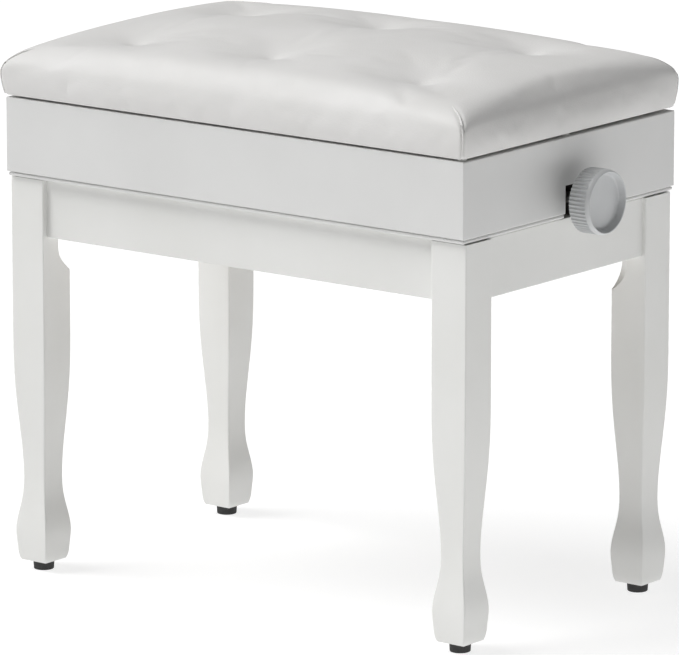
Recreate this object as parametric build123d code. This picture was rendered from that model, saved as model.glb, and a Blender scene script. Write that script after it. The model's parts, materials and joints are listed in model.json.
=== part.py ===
from build123d import *
import math
import os

# Height-adjustable piano bench with a lift-up padded lid over a shallow music tray.
# Frame: origin on the floor under the middle of the bench, X along the length, front towards -Y, Z up.
# Every size is in millimetres, and the seat is at its lowest setting.

# ------------------------------------------------------------------ driving dimensions
# Moving box: four mitred boards round a music tray
box_length = 520.0
box_depth = 317.0
box_top_z = 444.0
box_bottom_z = 371.0
board_thickness = 15.0
corner_round = 1.2
top_edge_round = 0.9
bead_height = 3.5
bead_set_in = 1.2
groove_rise = 0.5
floor_bottom_z = 413.0
floor_thickness = 6.0
cleat_size = 12.0
notch_half_width = 8.5
notch_top_z = 400.7

# Legs and aprons
leg_x = 240.5
leg_y = 134.9
leg_half = 19.0
leg_top_z = 370.0
foot_height = 9.4
leg_edge_round = 1.3
# Half width and height along the leg: the foot swells from the floor end and draws in to a waist,
# and the shaft widens from the waist to the full square.
foot_curve = ((14.9, foot_height), (17.5, 24.5), (18.3, 37.0), (16.1, 56.0), (12.85, 88.0))
shaft_curve = (foot_curve[-1], (15.3, 136.0), (18.05, 177.0), (leg_half, 235.0))
chamfer_face = 17.0
chamfer_bottom_z = 306.0
chamfer_run_out_radius = 32.0
apron_thickness = 15.0
apron_bottom_z = 316.3
apron_front_y = 148.4
apron_side_x = 255.2
apron_round = 1.0
batten_near_x = 140.0
batten_far_x = 176.0
batten_bottom_z = 350.0

# Rubber feet and the steel studs that hold them
foot_bottom_radius = 9.3
foot_top_radius = 9.9
foot_edge_round = 1.0
stud_radius = 2.5
stud_z = (3.5, 26.0)

# Corner brackets and their hanger bolts
bracket_z = (326.0, 362.0)
bracket_draw_gap = 12.0
flange_length = 24.0
bracket_screw_inset = 9.0
bracket_screw_places = (7.0, 17.0)
bolt_z = 344.0
bolt_radius = 3.0
bolt_in_leg = 5.0
bolt_past_web = 14.0
washer_radius = 8.0
washer_thickness = 1.5

# Pan-head screws: shank radius, shank length, head radius, head height
bracket_screw = (1.75, 12.0, 3.6, 2.2)
plate_screw = (1.75, 14.0, 3.6, 2.2)
lower_rail_screw = (2.0, 16.0, 4.0, 2.4)
upper_rail_screw = (1.75, 7.0, 3.6, 2.0)

# Scissor lift
lift_travel = 75.0
arm_length = 280.0
arm_rest_angle = 3.0
arm_width = 16.0
arm_thickness = 3.0
pivot_x = -140.0
low_pivot_z = 389.0
outer_arm_y = 101.5
inner_arm_y = 96.5
lower_cheek_y = 105.0
upper_cheek_y = 91.0
sheet = 2.0
rail_half_length = 178.0
slide_pin_radius = 3.0
slot_clearance = 1.0
nut_slot_play = 1.9
running_gap = 0.06
pin_overhang = 2.5
rivet_radius = 4.0
rivet_head_radius = 6.5
upper_pin_radius = 4.0
lower_rail_top_z = 398.0
lower_flange_width = 18.0
upper_rail_bottom_z = 396.6
upper_flange_width = 16.0
lower_rail_screw_places = (-168.0, -150.0, 150.0, 168.0)
upper_rail_screw_places = (-165.0, -60.0, 60.0, 165.0)

# Thrust block, nut bar and shaft bearings
block_half_width = 14.0
block_half_size = 12.0
stub_inner_y = 7.0
nut_bar_half_length = 88.0
nut_bar_half_x = 9.0
nut_bar_half_z = 6.0
nut_boss_half = 12.0
bearing_plate_z = (338.0, 399.0)
bearing_plate_half_width = 16.0
bearing_plate_thickness = 3.0
bearing_plate_round = 4.0
bearing_screw_y = (-9.0, 9.0)
bearing_screw_z = (345.0, 358.0)
bushing_radius = 8.0
bushing_flange_radius = 10.0
bushing_flange_thickness = 1.5

# Lead screw and knobs
screw_radius = 5.0
shaft_end_radius = 4.0
knob_back_x = 278.1
knob_width = 21.8
knob_radius = 29.3
knob_rim_radius = 28.2
knob_rim_width = 1.5
knob_dish_depth = 6.4
knob_dish_round = 2.2
knob_wall_slope = 1.2
flute_count = 50
flute_length = 17.6
flute_radius = 1.55
flute_depth = 1.2
hub_radius = 8.0
hub_length = 6.0
shaft_in_knob = 10.0
collar_radius = 9.0
collar_width = 8.0
collar_gap = 0.3

# Lid and cushion
lid_gap = 2.0
cover_thickness = 1.0
lid_board_thickness = 12.0
lid_board_set_in = 3.0
cushion_bulge = 3.3
cushion_shoulder_z = 477.0
cushion_top_z = 502.0
cushion_corner = 10.0
arch_reach = 30.0
hem_width = 26.0
bumper_radius = 4.0
bumper_gap = 0.3

# Continuous hinge along the rear top edge
hinge_half_length = 240.0
knuckle_count = 24
knuckle_radius = 1.7
hinge_pin_radius = 0.9
hinge_leaf = 0.7
hinge_leaf_reach = 12.5
hinge_edge_gap = 0.2
knuckle_gap = 0.4

# ------------------------------------------------------------------ sizes that follow
half_length = box_length / 2
half_depth = box_depth / 2
inner_x = half_length - board_thickness
inner_y = half_depth - board_thickness
leg_inner_x = leg_x - leg_half
leg_inner_y = leg_y - leg_half
apron_inner_y = apron_front_y - apron_thickness
apron_inner_x = apron_side_x - apron_thickness
rest_rise = arm_length * math.sin(math.radians(arm_rest_angle))
high_pivot_z = low_pivot_z + rest_rise
raised_angle = math.degrees(math.asin((rest_rise + lift_travel) / arm_length))
slide_far_x = pivot_x + arm_length * math.cos(math.radians(arm_rest_angle))
slide_near_x = pivot_x + arm_length * math.cos(math.radians(raised_angle))
cushion_bottom_z = box_top_z + lid_gap
lid_board_z = cushion_bottom_z + cover_thickness
hinge_y = half_depth + knuckle_radius + 0.1
hinge_z = box_top_z + lid_gap / 2

SIDES = (("front", -1), ("rear", 1))
ENDS = (("left", -1), ("right", 1))
nodes = {}


# ------------------------------------------------------------------ helpers
def block(x_pair, y_pair, z_pair):
    """Box that spans the three given pairs of limits, in either order."""
    centre = [(pair[0] + pair[1]) / 2 for pair in (x_pair, y_pair, z_pair)]
    size = [abs(pair[1] - pair[0]) for pair in (x_pair, y_pair, z_pair)]
    return Pos(*centre) * Box(*size)


def rod_x(radius, x_pair, y, z):
    """Round bar along X."""
    return Pos((x_pair[0] + x_pair[1]) / 2, y, z) * Rot(0, 90, 0) * Cylinder(radius, abs(x_pair[1] - x_pair[0]))


def rod_y(radius, y_pair, x, z):
    """Round bar along Y."""
    return Pos(x, (y_pair[0] + y_pair[1]) / 2, z) * Rot(90, 0, 0) * Cylinder(radius, abs(y_pair[1] - y_pair[0]))


def rod_z(radius, z_pair, x, y):
    """Upright round bar."""
    return Pos(x, y, (z_pair[0] + z_pair[1]) / 2) * Cylinder(radius, abs(z_pair[1] - z_pair[0]))


def slot_y(half_height, x_pair, y_pair, z):
    """Cutter for a round-ended slot along X, going through in Y."""
    straight = block((x_pair[0], x_pair[1]), y_pair, (z - half_height, z + half_height))
    return straight + rod_y(half_height, y_pair, x_pair[0], z) + rod_y(half_height, y_pair, x_pair[1], z)


def pan_screw(point, outward, shank_radius, shank_length, head_radius, head_height):
    """Pan-head screw whose head sits on the point and whose shank goes in against the outward direction."""
    shank = Pos(0, 0, -shank_length / 2) * Cylinder(shank_radius, shank_length)
    head = Pos(0, 0, head_height / 2) * Cylinder(head_radius, head_height)
    head = fillet(head.edges().group_by(Axis.Z)[-1], head_height * 0.6)
    return Plane(origin=point, z_dir=outward).location * (shank + head)


def keep(name, *pieces):
    """File one or more separate solids under a node name."""
    solids = [solid for piece in pieces for solid in piece.solids()]
    nodes[name] = solids[0] if len(solids) == 1 else Compound(children=solids)


def drill(name, *cutters):
    """Cut holes in a node that is already filed."""
    shape = nodes[name]
    for cutter in cutters:
        shape = shape - cutter
    keep(name, shape)


# ------------------------------------------------------------------ legs and feet
def leg_outline(plane):
    """Side view of the leg: square shaft, long taper to a waist, swelling foot."""
    with BuildSketch(plane) as sketch:
        with BuildLine():
            Line((0, foot_height), foot_curve[0])
            Spline(*foot_curve, tangents=((0.5, 1), (0, 1)))
            Spline(*shaft_curve, tangents=((0, 1), (0, 1)))
            Line(shaft_curve[-1], (leg_half, leg_top_z))
            Line((leg_half, leg_top_z), (0, leg_top_z))
            Line((0, leg_top_z), (0, foot_height))
        make_face()
        mirror(about=Plane.YZ)
    return sketch.sketch


def make_leg():
    """Leg on its own axis, with its inner top corner towards -X -Y."""
    front_view = extrude(leg_outline(Plane.XZ), leg_half, both=True)
    side_view = extrude(leg_outline(Plane.YZ), leg_half, both=True)
    leg = front_view & side_view
    uprights = [edge for edge in leg.edges() if edge.length > leg_half and abs(edge.center().X) > 5
                and abs(abs(edge.center().X) - abs(edge.center().Y)) < 0.5]
    leg = fillet(uprights, leg_edge_round)
    plane_distance = leg_half * math.sqrt(2) - chamfer_face / math.sqrt(2)
    slab = block((-plane_distance - leg_half * 2, -plane_distance), (-leg_half * 2, leg_half * 2),
                 (chamfer_bottom_z, leg_top_z + 10))
    run_out = rod_y(chamfer_run_out_radius, (-leg_half * 2, leg_half * 2),
                    -plane_distance - chamfer_run_out_radius, chamfer_bottom_z)
    return leg - Rot(0, 0, 45) * (slab + run_out)


def at_corner(shape, end_sign, depth_sign):
    """Mirror a shape made for the +X +Y corner into another corner."""
    if end_sign < 0:
        shape = mirror(shape, Plane.YZ)
    if depth_sign < 0:
        shape = mirror(shape, Plane.XZ)
    return shape


leg_shape = make_leg()
foot_studs = []
for depth_name, depth_sign in SIDES:
    for end_name, end_sign in ENDS:
        x = end_sign * leg_x
        y = depth_sign * leg_y
        stud = rod_z(stud_radius, stud_z, x, y)
        foot_studs.append(stud)
        keep(f"leg_{depth_name}_{end_name}", Pos(x, y, 0) * at_corner(leg_shape, end_sign, depth_sign) - stud)
        foot = Pos(x, y, foot_height / 2) * Cone(foot_bottom_radius, foot_top_radius, foot_height)
        foot = fillet(foot.edges().group_by(Axis.Z)[0], foot_edge_round)
        keep(f"rubber_foot_{depth_name}_{end_name}", foot - stud)
keep("foot_studs", *foot_studs)

# ------------------------------------------------------------------ aprons and battens
for depth_name, depth_sign in SIDES:
    apron = block((-leg_inner_x, leg_inner_x), (depth_sign * apron_inner_y, depth_sign * apron_front_y),
                  (apron_bottom_z, leg_top_z))
    keep(f"apron_{depth_name}", fillet(apron.edges().filter_by(Axis.X), apron_round))
for end_name, end_sign in ENDS:
    apron = block((end_sign * apron_inner_x, end_sign * apron_side_x), (-leg_inner_y, leg_inner_y),
                  (apron_bottom_z, leg_top_z))
    keep(f"apron_{end_name}", fillet(apron.edges().filter_by(Axis.Y), apron_round))

for end_name, end_sign in ENDS:
    keep(f"batten_{end_name}", block((end_sign * batten_near_x, end_sign * batten_far_x),
                                     (-apron_inner_y, apron_inner_y), (batten_bottom_z, leg_top_z)))

# ------------------------------------------------------------------ corner brackets and their bolts
# A pressed steel brace bridges each corner at 45 degrees and draws the leg in with one hanger bolt.
leg_flat_sum = (leg_x - leg_half) + (leg_y - leg_half) + chamfer_face
web_sum = leg_flat_sum - bracket_draw_gap * math.sqrt(2)
web_x = web_sum - apron_inner_y
web_y = web_sum - apron_inner_x
inward = (-1 / math.sqrt(2), -1 / math.sqrt(2), 0)


def corner_bracket():
    """Brace for the +X +Y corner."""
    with BuildSketch(Plane.XY.offset(bracket_z[0])) as plan:
        with BuildLine():
            Polyline((web_x - flange_length, apron_inner_y), (web_x, apron_inner_y),
                     (apron_inner_x, web_y), (apron_inner_x, web_y - flange_length))
            offset(amount=sheet, side=Side.RIGHT, closed=True)
        make_face()
    return extrude(plan.sketch, bracket_z[1] - bracket_z[0])


def bolt_location(distance_from_leg_axis):
    """Place on the diagonal bolt line, with local +Z pointing to the middle of the bench."""
    x = leg_x + inward[0] * distance_from_leg_axis
    y = leg_y + inward[1] * distance_from_leg_axis
    return Plane(origin=(x, y, bolt_z), x_dir=(0, 0, 1), z_dir=inward).location


def wing_nut():
    """Round hub with two upswept wings, its seat at local Z = 0."""
    hub = Pos(0, 0, 3.5) * Cone(6.0, 4.5, 7)
    with BuildSketch(Plane.XZ) as wing_plan:
        with BuildLine():
            Polyline((2, 1), (7, 2.5), (13, 9), (13.5, 14), (10, 14), (4.5, 6.5), (2, 6.5), close=True)
        make_face()
    wing = extrude(wing_plan.sketch, 1.25, both=True)
    return hub + wing + mirror(wing, Plane.YZ)


web_distance = (leg_x + leg_y - web_sum) / math.sqrt(2)
washer_seat = web_distance + sheet
nut_seat = washer_seat + washer_thickness
hanger_bolt = bolt_location(0) * rod_z(bolt_radius, (-bolt_in_leg, washer_seat + bolt_past_web), 0, 0)
washer_ends = (washer_seat, nut_seat)
washer = bolt_location(0) * (rod_z(washer_radius, washer_ends, 0, 0) - rod_z(bolt_radius, washer_ends, 0, 0))
nut = bolt_location(nut_seat) * (wing_nut() - rod_z(bolt_radius, (-1, bolt_past_web), 0, 0))
bracket_screws = []
for along in bracket_screw_places:
    for height in (bracket_z[0] + bracket_screw_inset, bracket_z[1] - bracket_screw_inset):
        long_side = (web_x - along, apron_inner_y - sheet, height)
        short_side = (apron_inner_x - sheet, web_y - along, height)
        bracket_screws.append(pan_screw(long_side, (0, -1, 0), *bracket_screw))
        bracket_screws.append(pan_screw(short_side, (-1, 0, 0), *bracket_screw))
bracket = corner_bracket() - hanger_bolt
for screw in bracket_screws:
    bracket = bracket - screw

corners = [(end_sign, depth_sign) for end_sign in (-1, 1) for depth_sign in (-1, 1)]
keep("corner_brackets", *[at_corner(bracket, *corner) for corner in corners])
keep("hanger_bolts", *[at_corner(hanger_bolt, *corner) for corner in corners])
keep("bolt_washers", *[at_corner(washer, *corner) for corner in corners])
keep("wing_nuts", *[at_corner(nut, *corner) for corner in corners])
keep("bracket_screws", *[at_corner(screw, *corner) for corner in corners for screw in bracket_screws])
for depth_name, depth_sign in SIDES:
    for end_name, end_sign in ENDS:
        drill(f"leg_{depth_name}_{end_name}", at_corner(hanger_bolt, end_sign, depth_sign))
        for screw in bracket_screws:
            placed = at_corner(screw, end_sign, depth_sign)
            target = f"apron_{depth_name}" if abs(placed.center().Y) > leg_inner_y else f"apron_{end_name}"
            drill(target, placed)

# ------------------------------------------------------------------ lower rails of the lift
rail_x = (-rail_half_length, rail_half_length)
rail_screws = []
for depth_name, depth_sign in SIDES:
    cheek_y = (depth_sign * (lower_cheek_y - sheet / 2), depth_sign * (lower_cheek_y + sheet / 2))
    flange_y = (cheek_y[0], depth_sign * (lower_cheek_y - sheet / 2 + lower_flange_width))
    rail = block(rail_x, cheek_y, (leg_top_z, lower_rail_top_z))
    rail = rail + block(rail_x, flange_y, (leg_top_z, leg_top_z + sheet))
    rail = rail - rod_y(screw_radius, cheek_y, pivot_x, low_pivot_z)
    rail = rail - slot_y(slide_pin_radius + slot_clearance, (slide_near_x, slide_far_x), cheek_y, low_pivot_z)
    screw_y = depth_sign * (lower_cheek_y + lower_flange_width / 2)
    for x in lower_rail_screw_places:
        screw = pan_screw((x, screw_y, leg_top_z + sheet), (0, 0, 1), *lower_rail_screw)
        rail_screws.append(screw)
        rail = rail - screw
        drill("batten_left" if x < 0 else "batten_right", screw)
    keep(f"lower_rail_{depth_name}", rail)
keep("lower_rail_screws", *rail_screws)

# ------------------------------------------------------------------ fixed pivot, thrust block and shaft bearings
thrust_block = block((pivot_x - block_half_size, pivot_x + block_half_size),
                     (-block_half_width, block_half_width),
                     (low_pivot_z - block_half_size, low_pivot_z + block_half_size))
thrust_block = fillet(thrust_block.edges(), 1.0)
thrust_block = thrust_block - rod_x(screw_radius + running_gap, (pivot_x - 20, pivot_x + 20), 0, low_pivot_z)
fixed_pivots = []
for depth_name, depth_sign in SIDES:
    stub_y = (depth_sign * stub_inner_y, depth_sign * (lower_cheek_y + sheet / 2 + pin_overhang))
    stub = rod_y(screw_radius, stub_y, pivot_x, low_pivot_z)
    fixed_pivots.append(stub)
    thrust_block = thrust_block - stub
keep("fixed_pivot_shafts", *fixed_pivots)
keep("thrust_block", thrust_block)

bushings = []
bearing_screws = []
for end_name, end_sign in ENDS:
    plate_x = (end_sign * (apron_inner_x - bearing_plate_thickness), end_sign * apron_inner_x)
    plate = block(plate_x, (-bearing_plate_half_width, bearing_plate_half_width), bearing_plate_z)
    plate = fillet(plate.edges().filter_by(Axis.X), bearing_plate_round)
    flange_x = (plate_x[0] - end_sign * bushing_flange_thickness, plate_x[0])
    bushing = rod_x(bushing_radius, plate_x, 0, low_pivot_z)
    bushing = bushing + rod_x(bushing_flange_radius, flange_x, 0, low_pivot_z)
    plate = plate - bushing
    bushings.append(bushing - rod_x(screw_radius + running_gap, (flange_x[0], plate_x[1]), 0, low_pivot_z))
    for y in bearing_screw_y:
        for z in bearing_screw_z:
            screw = pan_screw((plate_x[0], y, z), (-end_sign, 0, 0), *plate_screw)
            bearing_screws.append(screw)
            plate = plate - screw
            drill(f"apron_{end_name}", screw)
    keep(f"bearing_plate_{end_name}", plate)
keep("shaft_bushings", *bushings)
keep("bearing_plate_screws", *bearing_screws)


# ------------------------------------------------------------------ box boards
def board_outline(plane, half_width):
    """Outside of the box in section: flat side, small arris, V groove and half-round bead below."""
    bead_x = half_width - bead_set_in - bead_height / 2
    groove_z = box_bottom_z + bead_height
    side_foot = groove_z + groove_rise
    with BuildSketch(plane) as sketch:
        with BuildLine():
            Line((0, box_bottom_z), (bead_x, box_bottom_z))
            ThreePointArc((bead_x, box_bottom_z), (half_width - bead_set_in, box_bottom_z + bead_height / 2),
                          (bead_x, groove_z))
            Line((bead_x, groove_z), (half_width - corner_round, side_foot))
            RadiusArc((half_width - corner_round, side_foot), (half_width, side_foot + corner_round),
                      -corner_round)
            Line((half_width, side_foot + corner_round), (half_width, box_top_z))
            Line((half_width, box_top_z), (0, box_top_z))
            Line((0, box_top_z), (0, box_bottom_z))
        make_face()
        mirror(about=Plane.YZ)
    return sketch.sketch


def box_ring():
    """The four boards as one mitred ring."""
    along_depth = extrude(board_outline(Plane.XZ, half_length), half_depth, both=True)
    along_length = extrude(board_outline(Plane.YZ, half_depth), half_length, both=True)
    rounded_plan = Plane.XY.offset(box_bottom_z) * RectangleRounded(box_length, box_depth, corner_round)
    ring = along_depth & along_length & extrude(rounded_plan, box_top_z - box_bottom_z)
    ring = fillet(ring.faces().sort_by(Axis.Z)[-1].outer_wire().edges(), top_edge_round)
    return ring - block((-inner_x, inner_x), (-inner_y, inner_y), (box_bottom_z - 1, box_top_z + 1))


def mitre_wedge(rotation, reach, spread):
    """Prism that holds one board of the ring: a trapezium cut at 45 degrees through both corners."""
    inset = board_thickness + 10
    with BuildSketch(Plane.XY.offset(box_bottom_z - 1)) as plan:
        with BuildLine():
            Polyline((-spread - 5, -reach - 5), (spread + 5, -reach - 5), (spread - inset, -reach + inset),
                     (-spread + inset, -reach + inset), close=True)
        make_face()
    return Rot(0, 0, rotation) * extrude(plan.sketch, box_top_z - box_bottom_z + 2)


ring = box_ring()
notch = block((-half_length - 5, half_length + 5), (-notch_half_width, notch_half_width),
              (box_bottom_z - 1, notch_top_z))
long_board = ring & mitre_wedge(180, half_depth, half_length)
keep("box_front", mirror(long_board, Plane.XZ))
keep("box_rear", long_board)
keep("box_right", (ring & mitre_wedge(90, half_length, half_depth)) - notch)
keep("box_left", (ring & mitre_wedge(270, half_length, half_depth)) - notch)

# ------------------------------------------------------------------ music tray and upper rails
tray_play = 0.4
keep("tray_floor", block((-inner_x + tray_play, inner_x - tray_play),
                         (-inner_y + tray_play, inner_y - tray_play),
                         (floor_bottom_z, floor_bottom_z + floor_thickness)))
cleat_z = (floor_bottom_z - cleat_size, floor_bottom_z)
long_cleats = []
short_cleats = []
for sign in (-1, 1):
    long_cleats.append(block((-inner_x, inner_x), (sign * (inner_y - cleat_size), sign * inner_y), cleat_z))
    short_cleats.append(block((sign * (inner_x - cleat_size), sign * inner_x),
                              (-inner_y + cleat_size, inner_y - cleat_size), cleat_z))
keep("long_cleats", *long_cleats)
keep("short_cleats", *short_cleats)

upper_rail_screws = []
upper_pins = []
for depth_name, depth_sign in SIDES:
    cheek_y = (depth_sign * (upper_cheek_y - sheet / 2), depth_sign * (upper_cheek_y + sheet / 2))
    flange_y = (depth_sign * (upper_cheek_y + sheet / 2 - upper_flange_width), cheek_y[1])
    rail = block(rail_x, cheek_y, (upper_rail_bottom_z, floor_bottom_z))
    rail = rail + block(rail_x, flange_y, (floor_bottom_z - sheet, floor_bottom_z))
    pin_y = (depth_sign * (upper_cheek_y - pin_overhang), depth_sign * (inner_arm_y + pin_overhang))
    pin = rod_y(upper_pin_radius, pin_y, pivot_x, high_pivot_z)
    upper_pins.append(pin)
    rail = rail - pin
    rail = rail - slot_y(slide_pin_radius + slot_clearance, (slide_near_x, slide_far_x), cheek_y, high_pivot_z)
    screw_y = depth_sign * (upper_cheek_y - upper_flange_width / 2 - sheet / 2)
    for x in upper_rail_screw_places:
        screw = pan_screw((x, screw_y, floor_bottom_z - sheet), (0, 0, -1), *upper_rail_screw)
        upper_rail_screws.append(screw)
        rail = rail - screw
        drill("tray_floor", screw)
    keep(f"upper_rail_{depth_name}", rail)
keep("upper_rail_screws", *upper_rail_screws)
keep("upper_pivot_pins", *upper_pins)


# ------------------------------------------------------------------ scissor arms
def flat_arm(first_bore, middle_bore):
    """Flat bar along local +X from its pivot, with bores at the pivot, the middle and the sliding end."""
    half = arm_thickness / 2
    bar = block((0, arm_length), (-half, half), (-arm_width / 2, arm_width / 2))
    bar = bar + rod_y(arm_width / 2, (-half, half), 0, 0) + rod_y(arm_width / 2, (-half, half), arm_length, 0)
    bar = bar - rod_y(first_bore, (-half, half), 0, 0)
    bar = bar - rod_y(middle_bore, (-half, half), arm_length / 2, 0)
    return bar - rod_y(slide_pin_radius, (-half, half), arm_length, 0)


outer_arm = flat_arm(screw_radius + running_gap, rivet_radius)
inner_arm = flat_arm(upper_pin_radius + running_gap, rivet_radius + slot_clearance)
outer_tilt = Pos(pivot_x, 0, low_pivot_z) * Rot(0, -arm_rest_angle, 0)
inner_tilt = Pos(pivot_x, 0, high_pivot_z) * Rot(0, arm_rest_angle, 0)
rivets = []
outer_pins = []
inner_pins = []
arm_face_y = outer_arm_y + arm_thickness / 2
rivet_neck_y = inner_arm_y - arm_thickness / 2 - 0.5
rivet_head_y = rivet_neck_y - 1.2
outer_pin_y = upper_cheek_y - pin_overhang
inner_pin_y = nut_bar_half_length - 4
for depth_name, depth_sign in SIDES:
    keep(f"outer_arm_{depth_name}", outer_tilt * Pos(0, depth_sign * outer_arm_y, 0) * outer_arm)
    keep(f"inner_arm_{depth_name}", inner_tilt * Pos(0, depth_sign * inner_arm_y, 0) * inner_arm)
    rivet = rod_y(rivet_radius, (depth_sign * rivet_neck_y, depth_sign * arm_face_y), arm_length / 2, 0)
    head = rod_y(rivet_head_radius, (depth_sign * rivet_head_y, depth_sign * rivet_neck_y), arm_length / 2, 0)
    rivets.append(outer_tilt * (rivet + head))
    outer_pin = rod_y(slide_pin_radius, (depth_sign * outer_pin_y, depth_sign * arm_face_y), arm_length, 0)
    outer_pins.append(outer_tilt * outer_pin)
    inner_pin_span = (depth_sign * inner_pin_y, depth_sign * (lower_cheek_y + pin_overhang))
    inner_pins.append(inner_tilt * rod_y(slide_pin_radius, inner_pin_span, arm_length, 0))
keep("scissor_rivets", *rivets)
keep("outer_arm_pins", *outer_pins)
keep("inner_arm_pins", *inner_pins)

# ------------------------------------------------------------------ nut bar
nut_x = (slide_far_x - nut_bar_half_x, slide_far_x + nut_bar_half_x)
nut_bar = block(nut_x, (-nut_bar_half_length, nut_bar_half_length),
                (low_pivot_z - nut_bar_half_z, low_pivot_z + nut_bar_half_z))
nut_bar = nut_bar + block(nut_x, (-nut_boss_half, nut_boss_half),
                          (low_pivot_z - nut_boss_half, low_pivot_z + nut_boss_half))
nut_bar = nut_bar - rod_x(screw_radius + running_gap, nut_x, 0, low_pivot_z)
slot_x = (slide_far_x - nut_slot_play, slide_far_x + nut_slot_play)
for depth_name, depth_sign in SIDES:
    slot_span = (depth_sign * (nut_bar_half_length - 6), depth_sign * (nut_bar_half_length + 2))
    nut_bar = nut_bar - slot_y(slide_pin_radius + slot_clearance, slot_x, slot_span, low_pivot_z)
keep("nut_bar", nut_bar)


# ------------------------------------------------------------------ lead screw, collars and knobs
def make_knob():
    """Hand knob on local +Z: fluted grip, narrow plain band, thin rim round a dished face, rear hub."""
    rim_inner = knob_rim_radius - knob_rim_width
    dish_edge = rim_inner - knob_wall_slope
    dish_z = knob_width - knob_dish_depth
    back_round = 1.2
    with BuildSketch(Plane.XZ) as section:
        with BuildLine():
            Line((0, 0), (knob_radius - back_round, 0))
            RadiusArc((knob_radius - back_round, 0), (knob_radius, back_round), -back_round)
            Line((knob_radius, back_round), (knob_radius, flute_length))
            RadiusArc((knob_radius, flute_length), (knob_rim_radius, knob_width - 0.5), -9.0)
            RadiusArc((knob_rim_radius, knob_width - 0.5), (rim_inner, knob_width - 0.3), -0.8)
            Line((rim_inner, knob_width - 0.3), (dish_edge, dish_z + knob_dish_round))
            RadiusArc((dish_edge, dish_z + knob_dish_round), (dish_edge - knob_dish_round, dish_z),
                      knob_dish_round)
            Line((dish_edge - knob_dish_round, dish_z), (0, dish_z))
            Line((0, dish_z), (0, 0))
        make_face()
    body = revolve(section.sketch, Axis.Z)
    with BuildSketch(Plane.XY.offset(-1)) as flutes:
        with PolarLocations(knob_radius - flute_depth + flute_radius, flute_count):
            Circle(flute_radius)
    body = body - extrude(flutes.sketch, flute_length + 1)
    hub = rod_z(hub_radius, (-hub_length, 0), 0, 0)
    bore = rod_z(shaft_end_radius, (-hub_length - 1, shaft_in_knob), 0, 0)
    return body + hub - bore


knob = make_knob()
keep("knob_right", Pos(knob_back_x, 0, low_pivot_z) * Rot(0, 90, 0) * knob)
keep("knob_left", Pos(-knob_back_x, 0, low_pivot_z) * Rot(0, -90, 0) * knob)
shaft_end_x = knob_back_x + shaft_in_knob
shoulder_x = knob_back_x - hub_length
lead_screw = rod_x(screw_radius, (-shoulder_x, shoulder_x), 0, low_pivot_z)
lead_screw = lead_screw + rod_x(shaft_end_radius, (-shaft_end_x, shaft_end_x), 0, low_pivot_z)
keep("lead_screw", lead_screw)
collars = []
for sign in (-1, 1):
    near_x = pivot_x + sign * (block_half_size + collar_gap)
    collar_x = (near_x, near_x + sign * collar_width)
    collar = rod_x(collar_radius, collar_x, 0, low_pivot_z)
    collars.append(collar - rod_x(screw_radius, collar_x, 0, low_pivot_z))
keep("thrust_collars", *collars)


# ------------------------------------------------------------------ lid board and cushion
def under_arch(plane, half_width, half_span, shrink):
    """Everything below a shallow arch, straight through along the plane's normal."""
    edge = half_width + arch_reach
    low = cushion_bottom_z - 5
    with BuildSketch(plane) as sketch:
        with BuildLine():
            ThreePointArc((-edge, cushion_shoulder_z), (0, cushion_top_z - shrink), (edge, cushion_shoulder_z))
            Polyline((edge, cushion_shoulder_z), (edge, low), (-edge, low), (-edge, cushion_shoulder_z))
        make_face()
    return extrude(sketch.sketch, half_span + arch_reach, both=True)


def cushion_form(shrink):
    """Round-cornered cushion with a top crowned both ways, drawn in all over by the given amount."""
    grow = 2 * (cushion_bulge - shrink)
    plan = RectangleRounded(box_length + grow, box_depth + grow, cushion_corner - shrink)
    prism = extrude(Plane.XY.offset(cushion_bottom_z + shrink) * plan, cushion_top_z - cushion_bottom_z)
    crowned = prism & under_arch(Plane.XZ, half_length, half_depth, shrink)
    crowned = crowned & under_arch(Plane.YZ, half_depth, half_length, shrink)
    rebate_top_z = hinge_z + knuckle_radius + hinge_leaf + shrink
    hinge_rebate = block((-half_length - arch_reach, half_length + arch_reach),
                         (half_depth - hinge_edge_gap - shrink, half_depth + arch_reach),
                         (cushion_bottom_z - 5, rebate_top_z))
    return crowned - hinge_rebate


lid_board_x = half_length - lid_board_set_in
lid_board_y = half_depth - lid_board_set_in
lid_board = block((-lid_board_x, lid_board_x), (-lid_board_y, lid_board_y),
                  (lid_board_z, lid_board_z + lid_board_thickness))
lid_board = fillet(lid_board.edges().filter_by(Axis.Z), 3.0)
cover_opening = block((-lid_board_x + hem_width, lid_board_x - hem_width),
                      (-lid_board_y + hem_width, lid_board_y - hem_width),
                      (cushion_bottom_z - 1, lid_board_z + 1))
cushion_core = cushion_form(cover_thickness)
keep("lid_board", lid_board)
keep("cushion_foam", cushion_core - lid_board)
keep("cushion_cover", cushion_form(0) - cushion_core - cover_opening)

# ------------------------------------------------------------------ lid bumpers
bumpers = []
for end_sign in (-1, 1):
    for y in (-half_depth + board_thickness / 2, 0.0):
        x = end_sign * (half_length - board_thickness / 2)
        bumpers.append(rod_z(bumper_radius, (box_top_z, cushion_bottom_z - bumper_gap), x, y))
keep("lid_bumpers", *bumpers)


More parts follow.
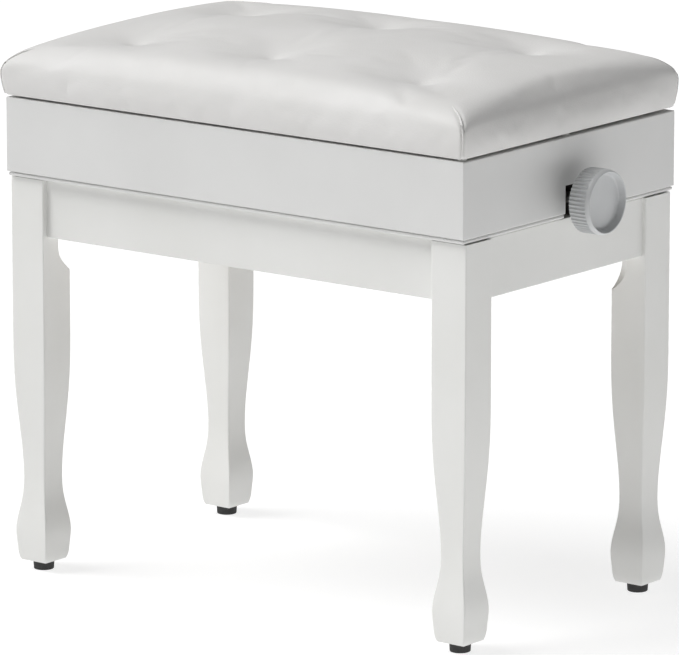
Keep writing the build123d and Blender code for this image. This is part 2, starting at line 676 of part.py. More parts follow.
# ------------------------------------------------------------------ continuous hinge
def hinge_leaf_shape(z_pair, bore_radius, first):
    """Leaf with every second knuckle, starting from the given index."""
    knuckle_length = 2 * hinge_half_length / knuckle_count
    leaf_edge_y = half_depth - hinge_edge_gap
    leaf_y = (half_depth - hinge_leaf_reach, leaf_edge_y)
    shape = block((-hinge_half_length, hinge_half_length), leaf_y, z_pair)
    for index in range(first, knuckle_count, 2):
        start = -hinge_half_length + index * knuckle_length + knuckle_gap / 2
        span = (start, start + knuckle_length - knuckle_gap)
        shape = shape + rod_x(knuckle_radius, span, hinge_y, hinge_z)
        shape = shape + block(span, (leaf_edge_y, hinge_y - hinge_pin_radius - 0.2), z_pair)
    return shape - rod_x(bore_radius, (-hinge_half_length, hinge_half_length), hinge_y, hinge_z)


keep("hinge_leaf_box", hinge_leaf_shape((box_top_z, box_top_z + hinge_leaf), hinge_pin_radius, 0))
keep("hinge_leaf_lid", hinge_leaf_shape((cushion_bottom_z - hinge_leaf, cushion_bottom_z),
                                        hinge_pin_radius + 0.05, 1))
keep("hinge_pin", rod_x(hinge_pin_radius, (-hinge_half_length, hinge_half_length), hinge_y, hinge_z))

# ------------------------------------------------------------------ write every node
os.makedirs("parts", exist_ok=True)
for name, shape in nodes.items():
    export_step(shape, f"parts/{name}.step")
print(len(nodes), "nodes; raised arm angle", round(raised_angle, 3))
print("slide of the free arm ends", round(slide_far_x - slide_near_x, 3))
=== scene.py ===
import json
import math

import bpy
import numpy as np
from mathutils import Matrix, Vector
from mathutils.bvhtree import BVHTree


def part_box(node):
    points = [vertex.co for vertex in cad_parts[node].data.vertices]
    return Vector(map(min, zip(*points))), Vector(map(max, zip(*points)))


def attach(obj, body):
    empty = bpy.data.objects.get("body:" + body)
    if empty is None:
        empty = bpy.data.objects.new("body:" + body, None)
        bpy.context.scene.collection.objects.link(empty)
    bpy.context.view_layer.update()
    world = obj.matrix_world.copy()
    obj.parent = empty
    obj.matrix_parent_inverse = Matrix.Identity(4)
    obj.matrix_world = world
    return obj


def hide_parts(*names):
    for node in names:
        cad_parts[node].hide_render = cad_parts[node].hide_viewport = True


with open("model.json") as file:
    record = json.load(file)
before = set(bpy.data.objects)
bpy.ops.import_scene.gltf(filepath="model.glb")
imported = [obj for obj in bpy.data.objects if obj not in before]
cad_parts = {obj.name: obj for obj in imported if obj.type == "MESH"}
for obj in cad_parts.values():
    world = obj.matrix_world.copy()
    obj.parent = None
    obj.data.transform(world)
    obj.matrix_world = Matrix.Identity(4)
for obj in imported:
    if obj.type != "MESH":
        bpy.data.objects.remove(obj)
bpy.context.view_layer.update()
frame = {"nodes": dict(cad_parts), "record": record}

MM = 0.001

# ------------------------------------------------------------------ places taken from the frame
box_low, box_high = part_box("box_front")
board_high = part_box("lid_board")[1]
half_length = box_high.x
half_depth = -box_low.y
cushion_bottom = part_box("cushion_cover")[0].z

# ------------------------------------------------------------------ camera, light and floor
CAMERA_AZIMUTH = 37.87
CAMERA_ELEVATION = 12.29
CAMERA_DISTANCE = 6.1227
CAMERA_AIM = (0.0005, 0.0004, 0.2365)
CAMERA_LENS = 356.2
FLOOR_HALF = 12.0


def make_camera():
    """Long lens about 38 degrees round from the front and 12 degrees up."""
    azimuth = math.radians(CAMERA_AZIMUTH)
    elevation = math.radians(CAMERA_ELEVATION)
    back = Vector((math.sin(azimuth) * math.cos(elevation), -math.cos(azimuth) * math.cos(elevation),
                   math.sin(elevation)))
    data = bpy.data.cameras.new("camera")
    data.sensor_width = 36.0
    data.lens = CAMERA_LENS
    data.clip_end = 100.0
    camera = bpy.data.objects.new("camera", data)
    camera.location = Vector(CAMERA_AIM) + back * CAMERA_DISTANCE
    camera.rotation_euler = back.to_track_quat("Z", "Y").to_euler()
    bpy.context.scene.collection.objects.link(camera)
    bpy.context.scene.camera = camera


def place_light(data, direction):
    """Light that faces away from a direction, given as a vector that points to where it shines from."""
    light = bpy.data.objects.new(data.name, data)
    light.rotation_euler = Vector(direction).to_track_quat("Z", "Y").to_euler()
    bpy.context.scene.collection.objects.link(light)
    return light


def add_sun(name, direction, strength, spread_degrees):
    """Soft light from far away."""
    data = bpy.data.lights.new(name, "SUN")
    data.energy = strength
    data.angle = math.radians(spread_degrees)
    place_light(data, direction)


def add_panel(name, place, direction, size, energy):
    """Rectangular light near the object, which the camera doesn't see."""
    data = bpy.data.lights.new(name, "AREA")
    data.shape = "RECTANGLE"
    data.size, data.size_y = size
    data.energy = energy
    panel = place_light(data, direction)
    panel.location = place
    panel.visible_camera = False


def make_world():
    """Faint cool light from all round."""
    world = bpy.data.worlds.new("studio")
    world.use_nodes = True
    background = world.node_tree.nodes["Background"]
    background.inputs["Color"].default_value = (0.95, 0.97, 1.0, 1.0)
    background.inputs["Strength"].default_value = 0.06
    bpy.context.scene.world = world


def make_floor():
    """Pale paper floor that glows a little, so that it stays near white."""
    half = FLOOR_HALF
    corners = [(-half, -half, 0), (half, -half, 0), (half, half, 0), (-half, half, 0)]
    mesh = bpy.data.meshes.new("floor")
    mesh.from_pydata(corners, [], [(0, 1, 2, 3)])
    floor = bpy.data.objects.new("floor", mesh)
    bpy.context.scene.collection.objects.link(floor)
    mat, shader = new_material("floor_paper")
    shader.inputs["Base Color"].default_value = (0.35, 0.35, 0.35, 1.0)
    shader.inputs["Roughness"].default_value = 0.9
    shader.inputs["Specular IOR Level"].default_value = 0.1
    shader.inputs["Emission Color"].default_value = (1.0, 1.0, 1.0, 1.0)
    shader.inputs["Emission Strength"].default_value = 0.76
    mesh.materials.append(mat)


def make_studio():
    """Broad key from above the left front, weak light from above the back, low fill from the right."""
    add_sun("key", direction=(-0.56, -0.38, 0.86), strength=2.95, spread_degrees=38.0)
    add_sun("overhead", direction=(0.15, 0.35, 1.0), strength=0.45, spread_degrees=60.0)
    add_panel("low_fill", place=(0.75, -0.05, 0.04), direction=(1.0, 0.0, -0.05), size=(0.9, 0.12),
              energy=0.55)
    make_world()
    bpy.context.scene.view_settings.view_transform = "Standard"
    make_floor()


# ------------------------------------------------------------------ material helpers
def new_material(name):
    """Material with one principled shader; returns both."""
    mat = bpy.data.materials.new(name)
    mat.use_nodes = True
    return mat, mat.node_tree.nodes["Principled BSDF"]


def add_node(mat, kind, **values):
    """Node with its input values set by name."""
    node = mat.node_tree.nodes.new(kind)
    for key, value in values.items():
        node.inputs[key.replace("_", " ")].default_value = value
    return node


def link(mat, source, target):
    """Join one node's output to another's input."""
    mat.node_tree.links.new(source, target)


def object_space(mat, scale=(1.0, 1.0, 1.0)):
    """Output of the object's own coordinates, in metres, stretched by scale."""
    place = add_node(mat, "ShaderNodeTexCoord")
    mapping = add_node(mat, "ShaderNodeMapping", Scale=scale)
    link(mat, place.outputs["Object"], mapping.inputs["Vector"])
    return mapping.outputs["Vector"]


def noise(mat, where, scale, detail=3.0, roughness=0.5):
    """Soft noise with scale lumps to the metre."""
    node = add_node(mat, "ShaderNodeTexNoise", Scale=scale, Detail=detail, Roughness=roughness)
    link(mat, where, node.inputs["Vector"])
    return node.outputs["Fac"]


def ramp(mat, value, low, high, low_at=0.3, high_at=0.7):
    """Colour that goes from low to high as a value crosses a band."""
    node = mat.node_tree.nodes.new("ShaderNodeValToRGB")
    node.color_ramp.elements[0].position = low_at
    node.color_ramp.elements[0].color = (*low, 1.0)
    node.color_ramp.elements[1].position = high_at
    node.color_ramp.elements[1].color = (*high, 1.0)
    link(mat, value, node.inputs["Fac"])
    return node.outputs["Color"]


def spread(mat, value, low, high):
    """Number that goes from low to high as a value goes from 0.3 to 0.7."""
    node = add_node(mat, "ShaderNodeMapRange", From_Min=0.3, From_Max=0.7, To_Min=low, To_Max=high)
    link(mat, value, node.inputs["Value"])
    return node.outputs["Result"]


def bump(mat, shader, height, distance, strength, under=None):
    """Bump from a height; returns its normal, so that a second one can lie on it."""
    node = add_node(mat, "ShaderNodeBump", Strength=strength, Distance=distance)
    link(mat, height, node.inputs["Height"])
    if under is not None:
        link(mat, under, node.inputs["Normal"])
    link(mat, node.outputs["Normal"], shader.inputs["Normal"])
    return node.outputs["Normal"]


def math_node(mat, operation, *values):
    """Result of a Math node; each value is a number or another node's output."""
    node = mat.node_tree.nodes.new("ShaderNodeMath")
    node.operation = operation
    for socket, value in zip(node.inputs, values):
        if isinstance(value, float):
            socket.default_value = value
        else:
            link(mat, value, socket)
    return node.outputs[0]


def within(mat, value, low, high):
    """1 where a value lies between two limits, else 0."""
    above = math_node(mat, "GREATER_THAN", value, low)
    below = math_node(mat, "LESS_THAN", value, high)
    return math_node(mat, "MULTIPLY", above, below)


def mix_colour(mat, share, first, second):
    """A node's colour where share is 0, and a fixed colour where it is 1."""
    node = mat.node_tree.nodes.new("ShaderNodeMix")
    node.data_type = "RGBA"
    link(mat, share, node.inputs["Factor"])
    link(mat, first, node.inputs[6])
    node.inputs[7].default_value = (*second, 1.0)
    return node.outputs[2]


# ------------------------------------------------------------------ materials
# The notch in the box's ends that the shaft passes through, and how far in from the end its walls lie.
NOTCH_HALF_WIDTH = 8.5 * MM
NOTCH_TOP = 400.7 * MM
NOTCH_MARGIN = 0.2 * MM
NOTCH_INNER = 14.8 * MM
NOTCH_OUTER = 0.3 * MM
# Painted shade: near-black colour for the notch walls, standing in for the shade deep inside the notches.
NOTCH_PAINTED_SHADE_COLOUR = (0.02, 0.018, 0.016)
SUBSURFACE_RADIUS = (0.0015, 0.0015, 0.0015)


def notch_walls(mat, where):
    """1 on the walls of the shaft's notches, where shade is painted, else 0."""
    axes = mat.node_tree.nodes.new("ShaderNodeSeparateXYZ")
    link(mat, where, axes.inputs["Vector"])
    from_middle = math_node(mat, "ABSOLUTE", axes.outputs["X"])
    from_centre_line = math_node(mat, "ABSOLUTE", axes.outputs["Y"])
    in_length = within(mat, from_middle, half_length - NOTCH_INNER, half_length - NOTCH_OUTER)
    in_depth = math_node(mat, "LESS_THAN", from_centre_line, NOTCH_HALF_WIDTH + NOTCH_MARGIN)
    in_height = within(mat, axes.outputs["Z"], 0.0, NOTCH_TOP + NOTCH_MARGIN)
    in_plan = math_node(mat, "MULTIPLY", in_length, in_depth)
    return math_node(mat, "MULTIPLY", in_plan, in_height)


def white_lacquer(name, low, high, paint_notch_shade=False):
    """Sprayed satin paint: faint cloudiness, broad waves and fine orange peel under a thin coat.

    When the last argument is true, the walls of the shaft's notches get painted shade: near black, for the
    shade deep inside the notches.
    """
    mat, shader = new_material(name)
    where = object_space(mat)
    colour = ramp(mat, noise(mat, where, scale=9.0, detail=4.0), low, high)
    # Painted shade: the notch walls are coloured near black where the inside of the notch lies in shade.
    if paint_notch_shade:
        colour = mix_colour(mat, notch_walls(mat, where), colour, NOTCH_PAINTED_SHADE_COLOUR)
    link(mat, colour, shader.inputs["Base Color"])
    link(mat, spread(mat, noise(mat, where, scale=60.0), 0.36, 0.46), shader.inputs["Roughness"])
    waves = noise(mat, where, scale=35.0)
    orange_peel = noise(mat, where, scale=420.0, detail=2.0)
    broad = bump(mat, shader, waves, distance=0.6 * MM, strength=0.25)
    bump(mat, shader, orange_peel, distance=0.12 * MM, strength=0.35, under=broad)
    shader.inputs["Coat Weight"].default_value = 0.12
    shader.inputs["Coat Roughness"].default_value = 0.25
    return mat


def wood(name, light, dark, grain_axis_scale, roughness):
    """Bare wood with long grain streaks, rougher where it is dark."""
    mat, shader = new_material(name)
    where = object_space(mat, grain_axis_scale)
    streaks = noise(mat, where, scale=60.0, detail=6.0, roughness=0.65)
    link(mat, ramp(mat, streaks, dark, light, 0.35, 0.65), shader.inputs["Base Color"])
    link(mat, spread(mat, streaks, roughness + 0.1, roughness), shader.inputs["Roughness"])
    bump(mat, shader, streaks, distance=0.4 * MM, strength=0.4)
    return mat


def faux_leather():
    """Coated upholstery fabric: pebbled grain in cells over soft creases, with a faint sheen."""
    mat, shader = new_material("faux_leather")
    where = object_space(mat)
    tint = noise(mat, where, scale=16.0)
    colour = ramp(mat, tint, (0.735, 0.727, 0.712), (0.765, 0.757, 0.745))
    link(mat, colour, shader.inputs["Base Color"])
    link(mat, spread(mat, noise(mat, where, scale=90.0), 0.52, 0.62), shader.inputs["Roughness"])
    cells = add_node(mat, "ShaderNodeTexVoronoi", Scale=850.0)
    cells.feature = "SMOOTH_F1"
    link(mat, where, cells.inputs["Vector"])
    folds = noise(mat, where, scale=70.0, detail=4.0, roughness=0.6)
    creases = bump(mat, shader, folds, distance=1.2 * MM, strength=0.18)
    bump(mat, shader, cells.outputs["Distance"], distance=0.25 * MM, strength=0.5, under=creases)
    shader.inputs["Specular IOR Level"].default_value = 0.35
    shader.inputs["Sheen Weight"].default_value = 0.05
    shader.inputs["Sheen Roughness"].default_value = 0.5
    return mat


def plastic(name, low, high, roughness, subsurface):
    """Moulded plastic with faint flow marks."""
    mat, shader = new_material(name)
    where = object_space(mat)
    flow = noise(mat, where, scale=45.0)
    patches = noise(mat, where, scale=220.0)
    link(mat, ramp(mat, flow, low, high), shader.inputs["Base Color"])
    link(mat, spread(mat, patches, roughness, roughness + 0.08), shader.inputs["Roughness"])
    bump(mat, shader, noise(mat, where, scale=500.0, detail=2.0), distance=0.05 * MM, strength=0.15)
    shader.inputs["Subsurface Weight"].default_value = subsurface
    shader.inputs["Subsurface Radius"].default_value = SUBSURFACE_RADIUS
    shader.inputs["Subsurface Scale"].default_value = 1.0
    return mat


def rubber():
    """Matt moulded rubber with a little dust."""
    mat, shader = new_material("black_rubber")
    where = object_space(mat)
    dust = noise(mat, where, scale=160.0, detail=5.0, roughness=0.7)
    link(mat, ramp(mat, dust, (0.018, 0.018, 0.018), (0.05, 0.05, 0.05)), shader.inputs["Base Color"])
    link(mat, spread(mat, dust, 0.62, 0.8), shader.inputs["Roughness"])
    bump(mat, shader, noise(mat, where, scale=1500.0, detail=2.0), distance=0.2 * MM, strength=0.4)
    return mat


def metal(name, low, high, roughness, metallic=1.0):
    """Steel with small blotches and fine marks, closer together along Z."""
    mat, shader = new_material(name)
    where = object_space(mat, (1.0, 1.0, 6.0))
    blotches = noise(mat, object_space(mat), scale=130.0, detail=4.0, roughness=0.6)
    link(mat, ramp(mat, blotches, low, high), shader.inputs["Base Color"])
    link(mat, spread(mat, blotches, roughness, roughness + 0.14), shader.inputs["Roughness"])
    bump(mat, shader, noise(mat, where, scale=700.0), distance=0.08 * MM, strength=0.3)
    shader.inputs["Metallic"].default_value = metallic
    return mat


def make_materials():
    """A material for each of the record's slots that shows, and one more for the box boards: a darker copy
    of the white lacquer, painted shade.
    """
    return {
        "white_lacquer": white_lacquer("white_lacquer", (0.80, 0.80, 0.775), (0.84, 0.84, 0.82)),
        # Painted shade: the box boards get a darker copy of the white lacquer, for the darker shading on the
        # box's faces next to the legs and aprons.
        "box_lacquer_painted_shade": white_lacquer("box_lacquer_painted_shade", (0.725, 0.725, 0.715), (0.76, 0.76, 0.75),
                                     paint_notch_shade=True),
        "raw_pine": wood("raw_pine", (0.60, 0.44, 0.27), (0.42, 0.28, 0.15),
                         grain_axis_scale=(1.0, 0.12, 1.0), roughness=0.62),
        "tray_board": wood("tray_board", (0.70, 0.68, 0.64), (0.62, 0.60, 0.56),
                           grain_axis_scale=(0.2, 1.0, 1.0), roughness=0.55),
        "plywood": wood("plywood", (0.66, 0.50, 0.33), (0.50, 0.36, 0.22),
                        grain_axis_scale=(0.12, 1.0, 1.0), roughness=0.6),
        "black_rubber": rubber(),
        "clear_bumper": plastic("clear_bumper", (0.62, 0.62, 0.60), (0.70, 0.70, 0.68),
                                roughness=0.4, subsurface=0.3),
        "knob_plastic": plastic("knob_plastic", (0.57, 0.58, 0.585), (0.60, 0.61, 0.615),
                                roughness=0.30, subsurface=0.10),
        "nylon": plastic("nylon", (0.72, 0.70, 0.64), (0.78, 0.76, 0.70), roughness=0.5, subsurface=0.1),
        "faux_leather": faux_leather(),
        "bright_steel": metal("bright_steel", (0.50, 0.50, 0.50), (0.62, 0.62, 0.61), roughness=0.28),
        "zinc_steel": metal("zinc_steel", (0.52, 0.55, 0.57), (0.66, 0.67, 0.66), roughness=0.38),
        "black_steel": metal("black_steel", (0.02, 0.02, 0.022), (0.045, 0.045, 0.048), roughness=0.5,
                             metallic=0.2),
    }


def finish_cad_nodes(materials):
    """Give each CAD node its slot's material; box boards get the darker copy of the lacquer with painted
    shade, the hidden foam the cover's.
    """
    slots = {part["node"]: part["material_slot"] for part in frame["record"]["subparts"]}
    for name, node in frame["nodes"].items():
        finish = "box_lacquer_painted_shade" if name.startswith("box_") else slots[name]
        node.data.materials.clear()
        node.data.materials.append(materials.get(finish, materials["faux_leather"]))


# ------------------------------------------------------------------ cushion
# Rounded shoulder between the wall and the top, and the crown over the top.
SHOULDER_WIDTH = 28.6 * MM
SHOULDER_HEIGHT = 16.1 * MM
SHOULDER_POWER = 0.443
CORNER_BLEND = 2.2
PLAN_CORNER = 4.0 * MM
WALL_TOP = 472.1 * MM
CROWN_HEIGHT = 21.2 * MM
CROWN_POWER = 0.623
BACK_RISE = 2.9 * MM
CUSHION_SHIFT_X = -1.4 * MM

# Grid lines over a shoulder, along the length and along the depth.
SHOULDER_LINES = 9
LENGTH_LINES = 90
DEPTH_LINES = 54
SHOULDER_SPACING = 0.95

# Wall rings from the top down: share of the wall's height, and how far out from the top edge, in mm.
WALL_BULGE = 4.2 * MM
WALL_RINGS = ((0.88, 0.0), (0.70, -0.15), (0.50, -0.7), (0.30, -1.5), (0.12, -2.4), (0.03, -3.0))
LOWER_EDGE_OUTSET = -3.9 * MM
LOWER_EDGE_DROP = 0.2 * MM
HINGE_SIDE_LIFT = 0.9 * MM

# Hem that is turned under the board, and the gaps round the board in its recess.
HEM_THICKNESS = 0.9 * MM
HEM_WIDTH = 26 * MM
BOARD_SIDE_GAP = 0.2 * MM
BOARD_TOP_GAP = 0.1 * MM

# Tufts: a broad hollow with a small pinch in it, a little narrower along the depth.
TUFT_COLUMNS = (-165 * MM, -8 * MM, 160 * MM)
TUFT_ROWS = (-84 * MM, 76 * MM)
TUFTS = [(x, y) for y in TUFT_ROWS for x in TUFT_COLUMNS]
TUFT_HOLLOW_DEPTH = 6.5 * MM
TUFT_HOLLOW_RADIUS = 36 * MM
TUFT_PINCH_DEPTH = 4.8 * MM
TUFT_PINCH_RADIUS = 9.5 * MM
TUFT_PINCH_POWER = 1.5
TUFT_NARROWING = 1.1
TUFT_PIN_RADIUS = 5.0 * MM

SIMULATED_FRAMES = 14
MOST_MOVEMENT = 2.2 * MM

# Darts sewn at the corners: up the wall, then inward over the top, bending along the length.
SEAM_WALL_STEPS = 8
SEAM_TOP_STEPS = 12
SEAM_CORNER_INSET = 1.5 * MM
SEAM_START_HEIGHT = 1.0 * MM
SEAM_OVERRUN = 3 * MM
SEAM_TOP_START = 2 * MM
SEAM_INWARD = 24.0 * MM
SEAM_SIDEWAYS = 7 * MM
SEAM_RAY_START = 20 * MM
SEAM_RAY_HEIGHT = 0.6
SEAM_WIDTH = 1.7 * MM
SEAM_DEPTH = 1.8 * MM
SEAM_REACH = 70 * MM
SEAM_FADE_POINTS = 6.0
SEAM_FADE_LEAST = 0.15

WELT_RADIUS = 0.9 * MM
WELT_SIDES = 8
WELT_END_SHARE = 0.35
WELT_GROWTH = 0.16
WELT_SINK = 0.2


def edge_steps(half_width, middle_lines):
    """Grid line places from -half_width to half_width, closer together over the rounded shoulders."""
    angles = np.linspace(0, math.pi / 2, SHOULDER_LINES + 1)
    shoulder = SHOULDER_WIDTH * (1 - np.cos(angles)) ** SHOULDER_SPACING
    left = -half_width + shoulder
    middle = np.linspace(left[-1], -left[-1], middle_lines + 1)[1:-1]
    return np.concatenate([left, middle, -left[::-1]])


def shoulder_drop(distance_in):
    """1 at the edge, 0 where the shoulder ends."""
    inside = np.clip(distance_in / SHOULDER_WIDTH, 0, 1)
    return 1 - np.clip(1 - (1 - inside) ** 2, 0, 1) ** SHOULDER_POWER


def tuft_depth(x, y):
    """How far the hidden tuft ties pull the cover down."""
    depth = np.zeros_like(x)
    for tuft_x, tuft_y in TUFTS:
        distance = np.hypot(x - tuft_x, (y - tuft_y) * TUFT_NARROWING)
        hollow = np.exp(-(distance / TUFT_HOLLOW_RADIUS) ** 2)
        pinch = np.exp(-(distance / TUFT_PINCH_RADIUS) ** TUFT_PINCH_POWER)
        depth = depth + TUFT_HOLLOW_DEPTH * hollow
        depth = depth + TUFT_PINCH_DEPTH * pinch
    return depth


def top_height(x, y, half_x, half_y):
    """Height of the crowned top over a point, with its shoulders and tufts."""
    drop_x = shoulder_drop(half_x - np.abs(x))
    drop_y = shoulder_drop(half_y - np.abs(y))
    drop = (drop_x ** CORNER_BLEND + drop_y ** CORNER_BLEND) ** (1 / CORNER_BLEND)
    shoulder = 1 - np.clip(drop, 0, 1)
    crown_x = np.clip(1 - (x / half_x) ** 2, 0, 1) ** CROWN_POWER
    crown_y = np.clip(1 - (y / half_y) ** 2, 0, 1) ** CROWN_POWER
    height = WALL_TOP + SHOULDER_HEIGHT * shoulder + CROWN_HEIGHT * crown_x * crown_y
    return height + BACK_RISE * y / half_y - tuft_depth(x, y)


def round_plan(x, y, half_x, half_y):
    """Ease points near the plan's corners onto a rounded corner."""
    over_x = np.clip((np.abs(x) - half_x + PLAN_CORNER) / PLAN_CORNER, 0, None)
    over_y = np.clip((np.abs(y) - half_y + PLAN_CORNER) / PLAN_CORNER, 0, None)
    eased_x = over_x * np.sqrt(1 - np.clip(over_y, 0, 1) ** 2 / 2)
    eased_y = over_y * np.sqrt(1 - np.clip(over_x, 0, 1) ** 2 / 2)
    rounded_x = x + np.sign(x) * (eased_x - over_x) * PLAN_CORNER
    rounded_y = y + np.sign(y) * (eased_y - over_y) * PLAN_CORNER
    return rounded_x, rounded_y


def mesh_object(name, points, faces):
    """Smooth-shaded object from points and faces."""
    mesh = bpy.data.meshes.new(name)
    mesh.from_pydata([tuple(map(float, point)) for point in points], [], faces)
    mesh.update()
    piece = bpy.data.objects.new(name, mesh)
    bpy.context.scene.collection.objects.link(piece)
    for polygon in mesh.polygons:
        polygon.use_smooth = True
    return piece


def lower_edge(y):
    """Height of the wall's lower edge, which lifts a little towards the hinge."""
    share = np.clip((y + half_depth) / (2 * half_depth), 0, 1)
    return cushion_bottom - LOWER_EDGE_DROP + HINGE_SIDE_LIFT * share


def outline_loop(count_x, count_y):
    """Indices of a grid's outer points, in order round it."""
    loop = [i * count_y for i in range(count_x)]
    loop += [(count_x - 1) * count_y + j for j in range(1, count_y)]
    loop += [i * count_y + count_y - 1 for i in range(count_x - 2, -1, -1)]
    loop += list(range(count_y - 2, 0, -1))
    return loop


def build_cushion():
    """Closed cushion: crowned top grid, bulging walls, a hem turned under, and a recess for the board.

    Returns the object and the indices of the points that the board and the tuft ties hold still.
    """
    half_x = half_length + WALL_BULGE
    half_y = half_depth + WALL_BULGE
    xs = edge_steps(half_x, LENGTH_LINES)
    ys = edge_steps(half_y, DEPTH_LINES)
    count_x, count_y = len(xs), len(ys)
    grid_x, grid_y = np.meshgrid(xs, ys, indexing="ij")
    heights = top_height(grid_x, grid_y, half_x, half_y)
    grid_x, grid_y = round_plan(grid_x, grid_y, half_x, half_y)
    points = [(grid_x[i, j] + CUSHION_SHIFT_X, grid_y[i, j], heights[i, j])
              for i in range(count_x) for j in range(count_y)]
    held = [index for index, (x, y, z) in enumerate(points)
            if min(math.hypot(x - tuft_x, y - tuft_y) for tuft_x, tuft_y in TUFTS) < TUFT_PIN_RADIUS]
    faces = []
    for i in range(count_x - 1):
        for j in range(count_y - 1):
            a = i * count_y + j
            faces.append((a, a + count_y, a + count_y + 1, a + 1))
    top_faces = list(faces)

    loop = outline_loop(count_x, count_y)
    ring_xy = [(points[index][0] - CUSHION_SHIFT_X, points[index][1]) for index in loop]
    ring_top = [points[index][2] for index in loop]

    def add_ring(previous, outset, height_of, shift=CUSHION_SHIFT_X):
        """Ring round the cushion, moved in or out from the top's edge, joined to the ring before it."""
        scale_x = (half_x + outset) / half_x
        scale_y = (half_y + outset) / half_y
        start = len(points)
        for (x, y), top in zip(ring_xy, ring_top):
            points.append((x * scale_x + shift, y * scale_y, height_of(y, top)))
        ring = list(range(start, start + len(loop)))
        for k in range(len(loop)):
            following = (k + 1) % len(loop)
            faces.append((previous[k], ring[k], ring[following], previous[following]))
        return ring

    ring = loop
    for share, outset in WALL_RINGS:
        ring = add_ring(ring, outset * MM,
                        lambda y, top, share=share: lower_edge(y) + share * (top - lower_edge(y)))
    first_held = len(points) - len(loop)
    ring = add_ring(ring, LOWER_EDGE_OUTSET, lambda y, top: lower_edge(y))

    hem_inner = board_high.x - HEM_WIDTH - half_x
    recess = board_high.x + BOARD_SIDE_GAP - half_x
    recess_top = board_high.z + BOARD_TOP_GAP
    ring = add_ring(ring, hem_inner, lambda y, top: cushion_bottom)
    ring = add_ring(ring, hem_inner, lambda y, top: cushion_bottom + HEM_THICKNESS)
    ring = add_ring(ring, recess, lambda y, top: cushion_bottom + HEM_THICKNESS, 0.0)
    ring = add_ring(ring, recess, lambda y, top: recess_top, 0.0)

    # The recess is closed by a grid like the top's, because one large face stalls the cloth.
    place_of = dict(zip(loop, ring))
    for i in range(1, count_x - 1):
        for j in range(1, count_y - 1):
            place_of[i * count_y + j] = len(points)
            points.append((grid_x[i, j] * (half_x + recess) / half_x,
                           grid_y[i, j] * (half_y + recess) / half_y, recess_top))
    for a, b, c, d in top_faces:
        faces.append((place_of[a], place_of[d], place_of[c], place_of[b]))
    held += list(range(first_held, len(points)))
    return mesh_object("cushion", points, faces), held


def evaluated_points(piece):
    """Point places of a piece after its modifiers, as an array."""
    evaluated = piece.evaluated_get(bpy.context.evaluated_depsgraph_get())
    mesh = evaluated.to_mesh()
    places = np.empty(len(mesh.vertices) * 3)
    mesh.vertices.foreach_get("co", places)
    evaluated.to_mesh_clear()
    return places.reshape(-1, 3)


def blow_up(piece, held):
    """Fill a cover with air by cloth simulation, its held points fixed, and keep the result in its mesh."""
    piece.vertex_groups.new(name="held").add(held, 1.0, "REPLACE")
    rest = np.empty(len(piece.data.vertices) * 3)
    piece.data.vertices.foreach_get("co", rest)
    rest = rest.reshape(-1, 3)
    cloth = piece.modifiers.new("cloth", "CLOTH")
    cloth.settings.quality = 3
    cloth.settings.mass = 0.35
    cloth.settings.tension_stiffness = 18
    cloth.settings.compression_stiffness = 12
    cloth.settings.shear_stiffness = 6
    cloth.settings.bending_stiffness = 1.0
    cloth.settings.shrink_min = -0.003
    cloth.settings.use_pressure = True
    cloth.settings.uniform_pressure_force = 4.0
    cloth.settings.vertex_group_mass = "held"
    cloth.settings.effector_weights.gravity = 0.0
    cloth.point_cache.frame_end = SIMULATED_FRAMES
    scene = bpy.context.scene
    for frame_number in range(1, SIMULATED_FRAMES + 1):
        scene.frame_set(frame_number)
    moved = evaluated_points(piece) - rest
    piece.modifiers.remove(cloth)
    scene.frame_set(1)
    length = np.linalg.norm(moved, axis=1, keepdims=True)
    capped = moved * np.tanh(length / MOST_MOVEMENT) * MOST_MOVEMENT / np.maximum(length, 1e-9)
    piece.data.vertices.foreach_set("co", (rest + capped).ravel())
    piece.data.update()
    print("cushion simulated, mean movement", round(float(length.mean()) / MM, 2), "mm")


def subdivide(piece):
    """One subdivision, kept in the mesh."""
    piece.modifiers.new("subdivision", "SUBSURF").levels = 1
    mesh = bpy.data.meshes.new_from_object(piece.evaluated_get(bpy.context.evaluated_depsgraph_get()))
    piece.modifiers.clear()
    piece.data = mesh
    for polygon in mesh.polygons:
        polygon.use_smooth = True


def corner_seam(piece, side_x, side_y):
    """Line of the dart sewn at a corner, as (place, normal) pairs on the cushion's surface."""
    tree = BVHTree.FromPolygons([point.co for point in piece.data.vertices],
                                [tuple(polygon.vertices) for polygon in piece.data.polygons])
    corner = Vector((side_x * (half_length + WALL_BULGE - SEAM_CORNER_INSET) + CUSHION_SHIFT_X,
                     side_y * (half_depth + WALL_BULGE - SEAM_CORNER_INSET), 0.0))
    outward = Vector((side_x, side_y, 0.0)).normalized()
    line = []
    rise = WALL_TOP + SEAM_OVERRUN - cushion_bottom
    for step in range(SEAM_WALL_STEPS + 1):
        height = cushion_bottom + SEAM_START_HEIGHT + rise * step / SEAM_WALL_STEPS
        hit = tree.ray_cast(corner + outward * SEAM_RAY_START + Vector((0, 0, height)), -outward)
        line.append((hit[0], hit[1]))
    for step in range(1, SEAM_TOP_STEPS + 1):
        share = step / SEAM_TOP_STEPS
        inward = outward * (SEAM_INWARD * share + SEAM_TOP_START)
        sideways = Vector((-side_x, 0.0, 0.0)) * SEAM_SIDEWAYS * share * share
        hit = tree.ray_cast(corner - inward + sideways + Vector((0, 0, SEAM_RAY_HEIGHT)), Vector((0, 0, -1)))
        line.append((hit[0], hit[1]))
    return line


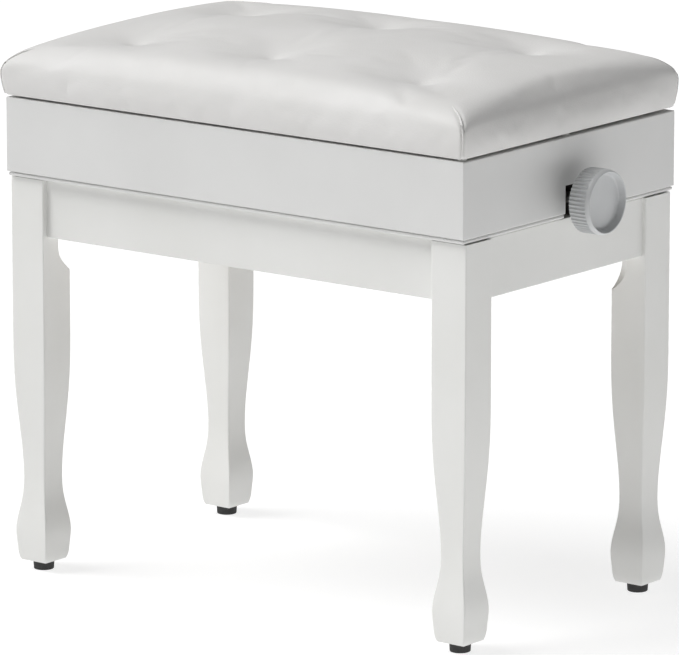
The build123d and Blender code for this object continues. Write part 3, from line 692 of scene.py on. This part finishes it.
def press_seams(piece, lines):
    """Draw the cover in along each seam, less and less towards the seam's end."""
    for line in lines:
        places = np.array([place for place, normal in line])
        left = len(line) - np.arange(len(line))
        fade = np.clip(left / SEAM_FADE_POINTS, SEAM_FADE_LEAST, 1.0)
        shoulder_place = line[SEAM_WALL_STEPS][0]
        for point in piece.data.vertices:
            if (point.co - shoulder_place).length > SEAM_REACH:
                continue
            gaps = np.linalg.norm(places - np.array(point.co), axis=1)
            nearest = int(gaps.argmin())
            if gaps[nearest] < SEAM_WIDTH * 3:
                pull = SEAM_DEPTH * fade[nearest] * math.exp(-(gaps[nearest] / SEAM_WIDTH) ** 2)
                point.co = point.co - line[nearest][1] * pull


def tube(name, lines, radius):
    """Thin round welts along lines of (place, normal), thinner towards their far ends."""
    points = []
    faces = []
    for line in lines:
        start = len(points)
        last = len(line) - 1
        for index, (place, normal) in enumerate(line):
            before = line[max(index - 1, 0)][0]
            after = line[min(index + 1, last)][0]
            along = (after - before).normalized()
            across = along.cross(normal).normalized()
            up = across.cross(along).normalized()
            thickness = radius * min(1.0, WELT_END_SHARE + (last - index) * WELT_GROWTH)
            middle = place - normal * SEAM_DEPTH * WELT_SINK
            for side in range(WELT_SIDES):
                angle = 2 * math.pi * side / WELT_SIDES
                points.append(middle + (across * math.cos(angle) + up * math.sin(angle)) * thickness)
        for index in range(last):
            for side in range(WELT_SIDES):
                a = start + index * WELT_SIDES + side
                b = start + index * WELT_SIDES + (side + 1) % WELT_SIDES
                faces.append((a, b, b + WELT_SIDES, a + WELT_SIDES))
        faces.append(tuple(start + side for side in reversed(range(WELT_SIDES))))
        faces.append(tuple(start + last * WELT_SIDES + side for side in range(WELT_SIDES)))
    return mesh_object(name, points, faces)


# ------------------------------------------------------------------ assembly
make_camera()
make_studio()
materials = make_materials()
finish_cad_nodes(materials)

cushion, held_points = build_cushion()
blow_up(cushion, held_points)
subdivide(cushion)
seams = [corner_seam(cushion, side_x, side_y) for side_x in (-1, 1) for side_y in (-1, 1)]
press_seams(cushion, seams)
cushion.data.materials.clear()
cushion.data.materials.append(materials["faux_leather"])
welts = tube("corner_welts", seams, WELT_RADIUS)
welts.data.materials.append(materials["faux_leather"])
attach(welts, "lid")
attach(cushion, "lid")
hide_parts("cushion_foam", "cushion_cover")
